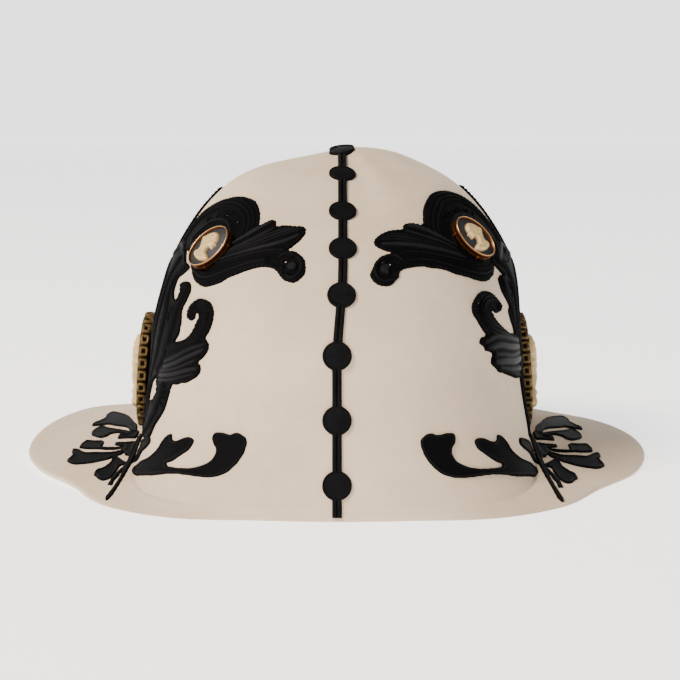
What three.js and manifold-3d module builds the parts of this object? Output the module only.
// Wool felt hat with a deep soft crown and a wide brim, trimmed with black moulded leather scrolls,
// a dotted cord over the middle and cameos. Millimetres, +Z up, the front faces -Y, and right in the
// names is +X, as seen from the front. The origin is on the floor under the middle of the hat.
import * as THREE from 'three';
import { mergeVertices } from 'three/addons/utils/BufferGeometryUtils.js';
import Module from 'manifold-3d';

const wasm = await Module();
wasm.setup();

// Driving dimensions
const FELT_THICKNESS = 2.5;
const FELT_AZIMUTHS = 40;
const OUTER_ROWS = [0.5, 1, 2, 3, 3.5, 4, 4.5, 5, 5.5, 6, 6.5, 7, 8, 9, 10, 11, 11.4, 12, 13, 14];
const INNER_ROWS = [14, 12, 11, 10, 8, 7, 6, 5, 4, 3, 2, 1];
const CROWN_LEAN = 2.5;
const LEAN_FROM_HEIGHT = 60;
const LEAN_FULL_HEIGHT = 100;
const LEATHER_CLEARANCE = 0.7;
const CHORD_SAG = 0.4;
const LEATHER_RISE = 1.6;
const TIP_LENGTH = 0.45;
const TIP_RISE = 0.3;
const CORD_WIDTH = 3.4;
const CORD_TOP = 1.5;
const CORD_ROWS = [13.4, 12, 11, 10, 9, 8, 7, 6.5, 6, 5.5, 5, 4.5, 4, 3.5, 3, 2.5, 2, 1.5, 1, 0.5];
const DOT = { length: 11.9, width: 11.9, rise: 1.3, crestInset: 1.2, sides: 8 };
const DOT_SEAT = 1.9;
const FIRST_DOT_FROM_EDGE = 14.3;
const DOT_PITCH = 26;
const SMALL_CAMEO = { length: 25, width: 18, depth: 3.4, rim: 1.7, sides: 12 };
const LARGE_CAMEO = { length: 54, width: 39, depth: 5.2, rim: 3.4, sides: 32 };
const SMALL_CAMEO_RISE = 1.7;
const LARGE_CAMEO_RISE = 0.9;
const BEZEL_STEP = { inset: 0.2, height: 0.75 };
const GALLERY_LINK = { steps: 4, linkSteps: 2, gapOutset: 0.7, gapTop: 0.72 };
const GROUND_SIDES = 12;
const GROUND_TOP = 0.58;
const SMALL_BUST = { relief: 5, facets: 5 };
const LARGE_BUST = { relief: 22, facets: 7 };
const SEAT_GAP = 0.3;
const SIMPLIFY_WITHIN = 0.15;

// The surface of the felt is a function of an azimuth (0 at the front, 90 at +X) and a row. Rows run
// down a meridian from the apex at 0 to the brim's edge at 14, through the stations below.
const CROWN_RINGS = [
  { height: 145, halfWidth: 0, halfLength: 0, squareness: 2 },
  { height: 143, halfWidth: 20, halfLength: 13, squareness: 2 },
  { height: 138, halfWidth: 36, halfLength: 26, squareness: 2 },
  { height: 130, halfWidth: 51.5, halfLength: 42, squareness: 2 },
  { height: 118, halfWidth: 65, halfLength: 59.5, squareness: 2 },
  { height: 103, halfWidth: 74.5, halfLength: 77.5, squareness: 2.05 },
  { height: 88, halfWidth: 80, halfLength: 92, squareness: 2.1 },
  { height: 72, halfWidth: 82.5, halfLength: 101, squareness: 2.15 },
];
const WALL_SECTIONS = [
  { height: 72, halfWidth: 82.5, halfLength: 101, squareness: 2.15 },
  { height: 50, halfWidth: 84, halfLength: 105.5, squareness: 2.3 },
  { height: 28, halfWidth: 85.5, halfLength: 111.5, squareness: 2.6 },
  { height: 12, halfWidth: 88.5, halfLength: 117, squareness: 3 },
  { height: 0, halfWidth: 96, halfLength: 120, squareness: 3.4 },
];
const WALL_ROW_FRACTIONS = [0.3, 0.6, 0.85, 1];
const BRIM_ROW_FRACTIONS = [0.15, 0.5, 1];

// Brim sections from the front round to the back: the height where the wall breaks into the brim, the
// height of the edge on the +X and -X sides, and the edge's distance from the middle
const BRIM_STEP = 15;
const BRIM_SECTIONS = [
  { breakHeight: 5, edgeRight: 0, edgeLeft: 0, reach: 120 },
  { breakHeight: 5, edgeRight: 0, edgeLeft: 0, reach: 122.5 },
  { breakHeight: 5, edgeRight: 0, edgeLeft: 0, reach: 131 },
  { breakHeight: 6, edgeRight: 0.5, edgeLeft: 0.5, reach: 133.5 },
  { breakHeight: 12, edgeRight: 2.6, edgeLeft: 2.8, reach: 131 },
  { breakHeight: 16, edgeRight: 3, edgeLeft: 3.3, reach: 139 },
  { breakHeight: 18, edgeRight: 3.2, edgeLeft: 3.6, reach: 145 },
  { breakHeight: 18, edgeRight: 3.8, edgeLeft: 5.5, reach: 147 },
  { breakHeight: 16, edgeRight: 4.2, edgeLeft: 7.5, reach: 145.5 },
  { breakHeight: 12, edgeRight: 3, edgeLeft: 5, reach: 138.5 },
  { breakHeight: 6, edgeRight: 0.6, edgeLeft: 1, reach: 129.5 },
  { breakHeight: 5, edgeRight: 0, edgeLeft: 0, reach: 122.5 },
  { breakHeight: 5, edgeRight: 0, edgeLeft: 0, reach: 120 },
];

// Soft dents and swellings of the crown, each a smooth bump: sideways on the wall, and turning to
// up and down above this height
const DENT_SINKS_FROM = 80;
const CROWN_DENTS = [
  { azimuth: -80, row: 1.3, azimuthReach: 45, rowReach: 0.9, depth: -2.4 },
  { azimuth: 11, row: 3.4, azimuthReach: 8, rowReach: 1.9, depth: -1.5 },
  { azimuth: 25, row: 3.4, azimuthReach: 8, rowReach: 1.5, depth: 1.4 },
];

// Leather strokes as stations of azimuth from the front, row and width, on one side of the front
const UPPER_SCROLL = [
  [[72.5, 5, 6], [70, 4.35, 6], [64, 3.88, 6], [55, 3.73, 6], [45, 3.82, 6], [37.5, 4.2, 6], [34, 4.9, 8]],
  [[63, 5.6, 6], [65, 4.8, 6], [58, 4.12, 6], [48, 4.1, 6], [41.5, 4.6, 6], [37, 5.2, 8]],
  [[44, 5.8, 8], [37.5, 5.55, 9], [31, 5.3, 9], [24.5, 5.18, 7.5], [19, 5.26, 6.5], [14.2, 5.48, 10.4]],
  [[62, 5.45, 5], [52, 5.62, 7], [43, 5.4, 8], [33, 5.02, 9], [22, 4.92, 7]],
  [[36, 5, 7], [27, 4.82, 9], [20, 4.6, 9], [14, 4.45, 5]],
  [[34, 4.95, 6], [30.4, 4.62, 4.8], [27.6, 4.33, 4.2]],
];
const MID_SCROLL = [
  [[50.7, 6.05, 4.2], [50, 6.6, 5], [51, 7.3, 9], [52.5, 7.8, 10]],
  [[43, 6.8, 4.6], [43, 6.55, 3.6], [40, 6.42, 4.2], [36.3, 6.6, 5], [35.2, 6.95, 5.6], [39, 7.4, 6], [48, 7.65, 6]],
  [[51, 7.7, 8], [43, 7.7, 9], [33.6, 7.33, 5]],
  [[51, 8, 8], [43, 8, 9], [34.8, 7.8, 5]],
  [[50, 8.15, 6], [38.5, 8.02, 5]],
];
const SIDE_FRAME = [
  [[90, 5.5, 9], [81, 5.65, 8], [74, 6.35, 8], [71.5, 7.3, 8], [70.5, 8.2, 7], [65, 8.9, 6], [52, 9.4, 5]],
  [[76, 5.75, 8], [67, 6.25, 11], [61, 7.2, 13], [55, 8.15, 11], [50.8, 9, 7], [51.6, 9.65, 5]],
  [[82, 5.45, 6], [85.5, 4.4, 5], [85.5, 3.3, 3]],
];
const FRONT_SPRAY = [
  [[49, 10.8, 3.4], [43, 10.45, 4.5], [37.5, 10.28, 4.2], [31, 10.12, 2.8], [25.5, 9.97, 3.6], [21.7, 9.65, 7],
    [20.2, 9.35, 9], [20.6, 9.12, 10.4]],
  [[39.5, 10.2, 3], [36.3, 9.95, 4.6], [34.6, 9.7, 3.8], [33.3, 9.44, 2.6]],
  [[36.5, 10.15, 4], [34, 9.88, 6], [31, 9.7, 5.6], [28.4, 9.5, 4.8]],
  [[48.6, 10.75, 3.4], [48.2, 10.2, 5], [47.4, 9.85, 4.6]],
  [[48, 10.7, 3], [45.5, 10.08, 6], [41.4, 9.76, 5.4]],
];
const WING_SPRAY = [
  [[55.5, 11.32, 3], [66, 11.43, 3], [78, 11.5, 3], [91, 11.5, 3]],
  [[90, 11.5, 2.4], [90, 12.3, 2.6], [90, 12.8, 5]],
  [[82, 11.5, 2.6], [83, 12, 4], [85, 12.45, 3.2]],
  [[75, 11.45, 3.4], [77, 12, 5.4], [79, 12.45, 4], [82.5, 13.06, 5.4]],
  [[76, 11.6, 3], [71, 11.97, 6]],
  [[57, 11.4, 3], [66, 12.02, 3], [70, 12.55, 5.4], [72.8, 13, 6.6], [76.3, 13.36, 5]],
  [[61, 11.7, 2.6], [64, 12.35, 5], [62.6, 12.85, 6.6], [62.3, 13.2, 5.4]],
  [[56.5, 11.45, 3], [57, 12.05, 4], [56, 12.5, 4.4], [54.8, 12.83, 4.2]],
  [[55, 11.42, 3], [51.4, 12, 2.8], [48, 12.7, 3.6], [45.8, 13.3, 3.2]],
];

// Where the cameos sit, and the point that their long axis turns to
const SMALL_CAMEO_SEAT = { azimuth: 48.5, row: 4.92, topAzimuth: 42.5, topRow: 4.55 };
const LARGE_CAMEO_SEAT = { azimuth: 90, row: 8.36, topAzimuth: 90, topRow: 7 };

const MATERIALS = {
  felt: { color: 0xd6ccc0, roughness: 0.95, metalness: 0 },
  leather: { color: 0x17171a, roughness: 0.5, metalness: 0 },
  brass: { color: 0xb08a4a, roughness: 0.35, metalness: 0.9 },
  ground: { color: 0x2b2b2e, roughness: 0.3, metalness: 0 },
  ivory: { color: 0xe9dfc4, roughness: 0.45, metalness: 0 },
};

const toRadians = THREE.MathUtils.degToRad;
const lastRow = CROWN_RINGS.length - 1 + WALL_ROW_FRACTIONS.length + BRIM_ROW_FRACTIONS.length;

function catmullRom(before, start, end, after, t) {
  const linear = end - before;
  const square = 2 * before - 5 * start + 4 * end - after;
  const cube = 3 * (start - end) + after - before;
  return start + 0.5 * t * (linear + t * (square + t * cube));
}

// Smooth value of one brim column at an azimuth, mirrored at the front and the back
function brimValue(column, azimuth) {
  const folded = Math.abs(((azimuth + 540) % 360) - 180) / BRIM_STEP;
  const last = BRIM_SECTIONS.length - 1;
  const index = Math.min(Math.floor(folded), last - 1);
  const at = (i) => BRIM_SECTIONS[i < 0 ? -i : i > last ? 2 * last - i : i][column];
  return catmullRom(at(index - 1), at(index), at(index + 1), at(index + 2), folded - index);
}

function ovalRadius(azimuth, section) {
  const n = section.squareness;
  const across = Math.abs(Math.sin(toRadians(azimuth))) / section.halfWidth;
  const along = Math.abs(Math.cos(toRadians(azimuth))) / section.halfLength;
  return (across ** n + along ** n) ** (-1 / n);
}

function wallSection(height) {
  const lower = Math.max(1, WALL_SECTIONS.findIndex((section) => section.height <= height));
  const from = WALL_SECTIONS[lower - 1];
  const to = WALL_SECTIONS[lower];
  const t = (from.height - height) / (from.height - to.height);
  const mix = (column) => THREE.MathUtils.lerp(from[column], to[column], t);
  return { halfWidth: mix('halfWidth'), halfLength: mix('halfLength'), squareness: mix('squareness') };
}

// Radius and height of every row at one azimuth
function meridian(azimuth) {
  const rows = CROWN_RINGS.map((ring) => {
    const radius = ring.halfWidth === 0 ? 0 : ovalRadius(azimuth, ring);
    return { radius, height: ring.height };
  });
  const top = WALL_SECTIONS[0].height;
  const breakHeight = brimValue('breakHeight', azimuth);
  for (const fraction of WALL_ROW_FRACTIONS) {
    const height = top + (breakHeight - top) * fraction;
    rows.push({ radius: ovalRadius(azimuth, wallSection(height)), height });
  }
  const inner = rows[rows.length - 1];
  const wrapped = ((azimuth + 540) % 360) - 180;
  const edgeHeight = brimValue(wrapped > 0 ? 'edgeRight' : 'edgeLeft', azimuth);
  const reach = brimValue('reach', azimuth);
  for (const fraction of BRIM_ROW_FRACTIONS) {
    rows.push({
      radius: inner.radius + (reach - inner.radius) * fraction,
      height: inner.height + (edgeHeight - inner.height) * fraction,
    });
  }
  return rows;
}

const meridians = new Map();

function meridianAt(azimuth) {
  if (!meridians.has(azimuth)) {
    meridians.set(azimuth, meridian(azimuth));
  }
  return meridians.get(azimuth);
}

function dentDepth(azimuth, row) {
  let depth = 0;
  for (const dent of CROWN_DENTS) {
    const turn = (((azimuth - dent.azimuth + 540) % 360) - 180) / dent.azimuthReach;
    const drop = (row - dent.row) / dent.rowReach;
    depth += dent.depth * Math.exp(-0.5 * (turn * turn + drop * drop));
  }
  return depth;
}

// Point of the felt's outer surface
function surfacePoint(azimuth, row) {
  const rows = meridianAt(azimuth);
  const index = Math.min(Math.floor(row), lastRow - 1);
  const t = row - index;
  const first = { radius: -rows[1].radius, height: rows[1].height };
  const beyond = {
    radius: 2 * rows[lastRow].radius - rows[lastRow - 1].radius,
    height: 2 * rows[lastRow].height - rows[lastRow - 1].height,
  };
  const at = (i) => (i < 0 ? first : i > lastRow ? beyond : rows[i]);
  const value = (key) =>
    catmullRom(at(index - 1)[key], at(index)[key], at(index + 1)[key], at(index + 2)[key], t);
  const dent = dentDepth(azimuth, row);
  const lift = THREE.MathUtils.smoothstep(value('height'), DENT_SINKS_FROM, CROWN_RINGS[0].height);
  const radius = value('radius') + dent * (1 - lift) * Math.min(row, 1);
  const height = value('height') + dent * lift;
  const lean = CROWN_LEAN * THREE.MathUtils.smoothstep(height, LEAN_FROM_HEIGHT, LEAN_FULL_HEIGHT);
  const turn = toRadians(azimuth);
  return new THREE.Vector3(radius * Math.sin(turn) + lean, -radius * Math.cos(turn), height);
}

// The surface's directions of growing azimuth and row, and its outward normal
function surfaceFrame(azimuth, row) {
  const step = 0.02;
  const low = Math.max(row - step, 0.01);
  const high = Math.min(row + step, lastRow);
  const byAzimuth = surfacePoint(azimuth + step, row).sub(surfacePoint(azimuth - step, row));
  byAzimuth.divideScalar(2 * step);
  const byRow = surfacePoint(azimuth, high).sub(surfacePoint(azimuth, low)).divideScalar(high - low);
  const normal = new THREE.Vector3().crossVectors(byRow, byAzimuth).normalize();
  return { byAzimuth, byRow, normal };
}

function offsetPoint(azimuth, row, rise) {
  const normal = row < 0.05 ? new THREE.Vector3(0, 0, 1) : surfaceFrame(azimuth, row).normal;
  return surfacePoint(azimuth, row).addScaledVector(normal, rise);
}

// Azimuth and row of the point that lies a vector away from a surface point, within the surface
function moveOnSurface(azimuth, row, shift) {
  const { byAzimuth, byRow } = surfaceFrame(azimuth, row);
  const aa = byAzimuth.dot(byAzimuth);
  const ab = byAzimuth.dot(byRow);
  const bb = byRow.dot(byRow);
  const a = byAzimuth.dot(shift);
  const b = byRow.dot(shift);
  const determinant = aa * bb - ab * ab;
  return {
    azimuth: azimuth + (a * bb - b * ab) / determinant,
    row: Math.min(row + (b * aa - a * ab) / determinant, lastRow),
  };
}

function geometryOf(points, triangles) {
  const geometry = new THREE.BufferGeometry();
  geometry.setAttribute('position', new THREE.Float32BufferAttribute(points.flatMap((p) => p.toArray()), 3));
  geometry.setIndex(triangles.flat());
  return geometry;
}

// Closed skin round a list of loops with equal point counts, each loop running anticlockwise seen
// from the last loop; the end loops are closed with fans unless the skin runs round into itself
function skin(loops, closed = false) {
  const count = loops[0].length;
  const points = loops.flat();
  const triangles = [];
  const spans = closed ? loops.length : loops.length - 1;
  for (let i = 0; i < spans; i += 1) {
    const here = i * count;
    const next = ((i + 1) % loops.length) * count;
    for (let k = 0; k < count; k += 1) {
      const after = (k + 1) % count;
      triangles.push([here + k, here + after, next + after], [here + k, next + after, next + k]);
    }
  }
  if (!closed) {
    const top = (loops.length - 1) * count;
    for (let k = 1; k < count - 1; k += 1) {
      triangles.push([0, k + 1, k], [top, top + k, top + k + 1]);
    }
  }
  return geometryOf(points, triangles);
}

// Shared vertices, without the flat triangles left where a loop closes to a point
function welded(geometry) {
  const bare = mergeVertices(geometry);
  const index = Array.from(bare.index.array);
  const kept = [];
  for (let i = 0; i < index.length; i += 3) {
    const [a, b, c] = index.slice(i, i + 3);
    if (a !== b && b !== c && c !== a) {
      kept.push(a, b, c);
    }
  }
  bare.setIndex(kept);
  return bare;
}

function solidOf(geometry) {
  const bare = welded(geometry);
  return new wasm.Manifold(new wasm.Mesh({
    numProp: 3,
    vertProperties: new Float32Array(bare.attributes.position.array),
    triVerts: new Uint32Array(bare.index.array),
  }));
}

// Outer skin of a solid, without the small pockets left where strokes cross
function bufferOf(solid) {
  const bodies = solid.simplify(SIMPLIFY_WITHIN).decompose();
  const whole = bodies.reduce((largest, body) => (body.volume() > largest.volume() ? body : largest));
  const mesh = whole.getMesh();
  const geometry = new THREE.BufferGeometry();
  geometry.setAttribute('position', new THREE.Float32BufferAttribute(mesh.vertProperties, 3));
  geometry.setIndex(Array.from(mesh.triVerts));
  return geometry;
}

function fuse(geometries) {
  return bufferOf(geometries.map(solidOf).reduce((joined, solid) => joined.add(solid)));
}

// Felt

// One shell: down the outside from the apex to the edge, round the edge and up the inside
function feltShell() {
  const onFloor = (point) => point.setZ(Math.max(point.z, 0));
  const loop = (row, rise) => {
    const points = [];
    for (let i = 0; i < FELT_AZIMUTHS; i += 1) {
      points.push(onFloor(offsetPoint((i * 360) / FELT_AZIMUTHS, row, rise)));
    }
    return points;
  };
  const loops = [
    ...OUTER_ROWS.map((row) => loop(row, 0)),
    ...INNER_ROWS.map((row) => loop(row, -FELT_THICKNESS)),
  ];
  const rings = loops.length;
  const points = loops.flat();
  points.push(offsetPoint(0, 0, 0), offsetPoint(0, 0, -FELT_THICKNESS));
  const outerApex = points.length - 2;
  const innerApex = points.length - 1;
  const triangles = [];
  for (let k = 0; k < FELT_AZIMUTHS; k += 1) {
    const after = (k + 1) % FELT_AZIMUTHS;
    triangles.push([outerApex, k, after]);
    triangles.push([innerApex, (rings - 1) * FELT_AZIMUTHS + after, (rings - 1) * FELT_AZIMUTHS + k]);
    for (let i = 0; i < rings - 1; i += 1) {
      const here = i * FELT_AZIMUTHS;
      const next = here + FELT_AZIMUTHS;
      triangles.push([here + k, next + k, next + after], [here + k, next + after, here + after]);
    }
  }
  return geometryOf(points, triangles);
}

// Leather strokes

// A stroke with a station more wherever the straight line between two would cut into the felt
function refined(stroke) {
  const at = (i) => stroke[THREE.MathUtils.clamp(i, 0, stroke.length - 1)];
  const stations = [stroke[0]];
  for (let i = 0; i < stroke.length - 1; i += 1) {
    const middle = [0, 1, 2].map((c) => catmullRom(at(i - 1)[c], at(i)[c], at(i + 1)[c], at(i + 2)[c], 0.5));
    const chord = surfacePoint(at(i)[0], at(i)[1]).lerp(surfacePoint(at(i + 1)[0], at(i + 1)[1]), 0.5);
    const { normal } = surfaceFrame(middle[0], middle[1]);
    if (surfacePoint(middle[0], middle[1]).sub(chord).dot(normal) > CHORD_SAG) {
      stations.push(middle);
    }
    stations.push(at(i + 1));
  }
  return stations;
}

// Ridge-shaped ribbon that lies on the felt along a stroke, with a short point past each end
function strokeSolid(stroke) {
  const stations = refined(stroke);
  const centres = stations.map(([azimuth, row]) => surfacePoint(azimuth, row));
  const last = stations.length - 1;
  const loops = stations.map(([azimuth, row, width], i) => {
    const along = centres[Math.min(i + 1, last)].clone().sub(centres[Math.max(i - 1, 0)]).normalize();
    const { normal } = surfaceFrame(azimuth, row);
    const across = new THREE.Vector3().crossVectors(normal, along).normalize();
    return sectionLoop(azimuth, row, across.multiplyScalar(width / 2));
  });
  const tipLoop = (i, j) => {
    const [azimuth, row, width] = stations[i];
    const out = centres[i].clone().sub(centres[j]).setLength(width * TIP_LENGTH);
    const end = moveOnSurface(azimuth, row, out);
    return Array(3).fill(offsetPoint(end.azimuth, end.row, LEATHER_CLEARANCE + LEATHER_RISE * TIP_RISE));
  };
  return skin([tipLoop(0, 1), ...loops, tipLoop(last, last - 1)]);
}

// Triangle across a stroke: both feet just above the felt, and the ridge over the centre
function sectionLoop(azimuth, row, half) {
  const left = moveOnSurface(azimuth, row, half);
  const right = moveOnSurface(azimuth, row, half.clone().negate());
  return [
    offsetPoint(right.azimuth, right.row, LEATHER_CLEARANCE),
    offsetPoint(left.azimuth, left.row, LEATHER_CLEARANCE),
    offsetPoint(azimuth, row, LEATHER_CLEARANCE + LEATHER_RISE),
  ];
}

// The same strokes on each quarter of the hat: side is 1 for +X or -1, and back turns them round
function placed(strokes, side, back) {
  return strokes.map((stroke) =>
    stroke.map(([azimuth, row, width]) => [side * (back ? 180 - azimuth : azimuth), row, width]));
}

// Dotted cord

function dotRows(azimuth) {
  const rows = [];
  const fine = 0.02;
  let travelled = 0;
  let next = FIRST_DOT_FROM_EDGE;
  for (let row = lastRow - fine; row > 0; row -= fine) {
    travelled += surfacePoint(azimuth, row).distanceTo(surfacePoint(azimuth, row + fine));
    if (travelled >= next) {
      rows.push(row);
      next += DOT_PITCH;
    }
  }
  return rows;
}

// Cord from near the front edge over the apex to near the back edge
function centreCord() {
  const stations = [
    ...CORD_ROWS.map((row) => [0, row]),
    [0, 0],
    ...CORD_ROWS.slice().reverse().map((row) => [180, row]),
  ];
  const half = new THREE.Vector3(CORD_WIDTH / 2, 0, 0);
  return skin(stations.map(([azimuth, row]) => {
    const foot = offsetPoint(azimuth, row, LEATHER_CLEARANCE);
    return [foot.clone().add(half), foot.clone().sub(half), offsetPoint(azimuth, row, CORD_TOP)];
  }));
}

// Low button over the cord: round at the foot, with a smaller flat top
function dotSolid() {
  return skin([ovalLoop(DOT, 0, 0), ovalLoop(DOT, DOT.crestInset, DOT.rise)]);
}

// Cameos

// Frame on the felt: Z outward, Y toward the top point, origin a rise above the felt
function seatMatrix(seat, side, back, rise) {
  const turn = (azimuth) => side * (back ? 180 - azimuth : azimuth);
  const azimuth = turn(seat.azimuth);
  const origin = offsetPoint(azimuth, seat.row, rise);
  const outward = surfaceFrame(azimuth, seat.row).normal;
  const top = surfacePoint(turn(seat.topAzimuth), seat.topRow);
  const up = top.sub(surfacePoint(azimuth, seat.row)).projectOnPlane(outward).normalize();
  const right = new THREE.Vector3().crossVectors(up, outward);
  return new THREE.Matrix4().makeBasis(right, up, outward).setPosition(origin);
}

function ovalLoop(size, inset, height, sides = size.sides) {
  const points = [];
  for (let k = 0; k < sides; k += 1) {
    const turn = (2 * Math.PI * k) / sides;
    const across = (size.width / 2 - inset) * Math.cos(turn);
    points.push(new THREE.Vector3(across, (size.length / 2 - inset) * Math.sin(turn), height));
  }
  return points;
}

// Oval metal rim: stepped outside, with a lip that leans in over the ground
function bezelSolid(size) {
  return skin([
    ovalLoop(size, 0, 0),
    ovalLoop(size, BEZEL_STEP.inset, size.depth * BEZEL_STEP.height),
    ovalLoop(size, size.rim, size.depth),
    ovalLoop(size, size.rim, 0),
  ], true);
}

// Gallery of square links round the large cameo: link and gap alternate round the oval
function gallerySolid(size) {
  const loops = [];
  for (let k = 0; k < size.sides; k += 1) {
    const link = k % GALLERY_LINK.steps < GALLERY_LINK.linkSteps;
    const inset = link ? 0 : GALLERY_LINK.gapOutset;
    const top = link ? size.depth : size.depth * GALLERY_LINK.gapTop;
    const point = (from, height) => ovalLoop(size, from, height)[k];
    loops.push([point(size.rim, 0), point(size.rim, top), point(inset, top), point(inset, 0)]);
  }
  return skin(loops, true);
}

function groundSolid(size) {
  const inset = size.rim + SEAT_GAP;
  return skin([
    ovalLoop(size, inset, 0, GROUND_SIDES),
    ovalLoop(size, inset, size.depth * GROUND_TOP, GROUND_SIDES),
  ]);
}

// Parts of the bust in profile on a cameo that faces left, in half lengths of the ground: place, half sizes
const BUST = [
  { part: 'head', across: -0.04, up: 0.3, halfWidth: 0.25, halfHeight: 0.32, relief: 0.3 },
  { part: 'hair', across: 0.08, up: 0.4, halfWidth: 0.29, halfHeight: 0.27, relief: 0.36 },
  { part: 'bun', across: 0.36, up: 0.34, halfWidth: 0.15, halfHeight: 0.15, relief: 0.24 },
  { part: 'neck', across: 0.04, up: -0.12, halfWidth: 0.14, halfHeight: 0.34, relief: 0.24 },
  { part: 'shoulders', across: 0.02, up: -0.56, halfWidth: 0.42, halfHeight: 0.26, relief: 0.34 },
];

// Carved bust: flattened balls fused together and cut off flat just above the ground. Facing is 1 for a bust that
// faces the viewer's left, and -1 for one that faces right.
function bustSolid(size, { relief, facets }, facing) {
  const base = size.depth * GROUND_TOP + SEAT_GAP;
  const unit = size.length / 2 - size.rim;
  const balls = BUST.map((ball) => {
    const geometry = new THREE.SphereGeometry(1, facets, Math.ceil(facets / 2));
    geometry.deleteAttribute('normal');
    geometry.deleteAttribute('uv');
    geometry.rotateX(Math.PI / 2);
    geometry.scale(ball.halfWidth * unit, ball.halfHeight * unit, ball.relief * relief);
    geometry.translate(facing * ball.across * unit, ball.up * unit, base);
    return solidOf(geometry);
  });
  const below = new THREE.BoxGeometry(size.width * 2, size.length * 2, size.length);
  below.deleteAttribute('normal');
  below.deleteAttribute('uv');
  below.translate(0, 0, base - size.length / 2);
  const whole = balls.reduce((joined, ball) => joined.add(ball)).subtract(solidOf(below));
  return bufferOf(whole);
}

// Assembly

const hat = new THREE.Group();

function addPiece(name, geometry, material, matrix) {
  const mesh = new THREE.Mesh(welded(geometry), new THREE.MeshStandardMaterial(material));
  mesh.name = name;
  if (matrix) {
    mesh.applyMatrix4(matrix);
  }
  hat.add(mesh);
}

function scroll(strokes) {
  return fuse(strokes.map((stroke) => strokeSolid(stroke)));
}

addPiece('felt_body', feltShell(), MATERIALS.felt);
addPiece('centre_cord', centreCord(), MATERIALS.leather);
for (const [endName, azimuth] of [['front', 0], ['back', 180]]) {
  dotRows(azimuth).forEach((row, i) => {
    const seat = { azimuth, row, topAzimuth: azimuth, topRow: row - 0.1 };
    const place = seatMatrix(seat, 1, false, DOT_SEAT);
    addPiece(`centre_dot_${endName}_${i + 1}`, dotSolid(), MATERIALS.leather, place);
  });
}
for (const [sideName, side] of [['right', 1], ['left', -1]]) {
  const bothHalves = (strokes) => [...placed(strokes, side, false), ...placed(strokes, side, true)];
  addPiece(`side_scroll_${sideName}`, scroll(bothHalves([...SIDE_FRAME, ...MID_SCROLL])), MATERIALS.leather);
  addPiece(`wing_spray_${sideName}`, scroll(bothHalves(WING_SPRAY)), MATERIALS.leather);

  const large = seatMatrix(LARGE_CAMEO_SEAT, side, false, LARGE_CAMEO_RISE);
  addPiece(`large_cameo_gallery_${sideName}`, gallerySolid(LARGE_CAMEO), MATERIALS.brass, large);
  addPiece(`large_cameo_ground_${sideName}`, groundSolid(LARGE_CAMEO), MATERIALS.ground, large);
  addPiece(`large_cameo_bust_${sideName}`, bustSolid(LARGE_CAMEO, LARGE_BUST, side), MATERIALS.ivory, large);

  for (const [endName, back] of [['front', false], ['back', true]]) {
    const place = `${endName}_${sideName}`;
    addPiece(`upper_scroll_${place}`, scroll(placed(UPPER_SCROLL, side, back)), MATERIALS.leather);
    addPiece(`front_spray_${place}`, scroll(placed(FRONT_SPRAY, side, back)), MATERIALS.leather);
    const small = seatMatrix(SMALL_CAMEO_SEAT, side, back, SMALL_CAMEO_RISE);
    const facing = back ? -side : side;
    addPiece(`cameo_bezel_${place}`, bezelSolid(SMALL_CAMEO), MATERIALS.brass, small);
    addPiece(`cameo_ground_${place}`, groundSolid(SMALL_CAMEO), MATERIALS.ground, small);
    addPiece(`cameo_bust_${place}`, bustSolid(SMALL_CAMEO, SMALL_BUST, facing), MATERIALS.ivory, small);
  }
}

export default hat;
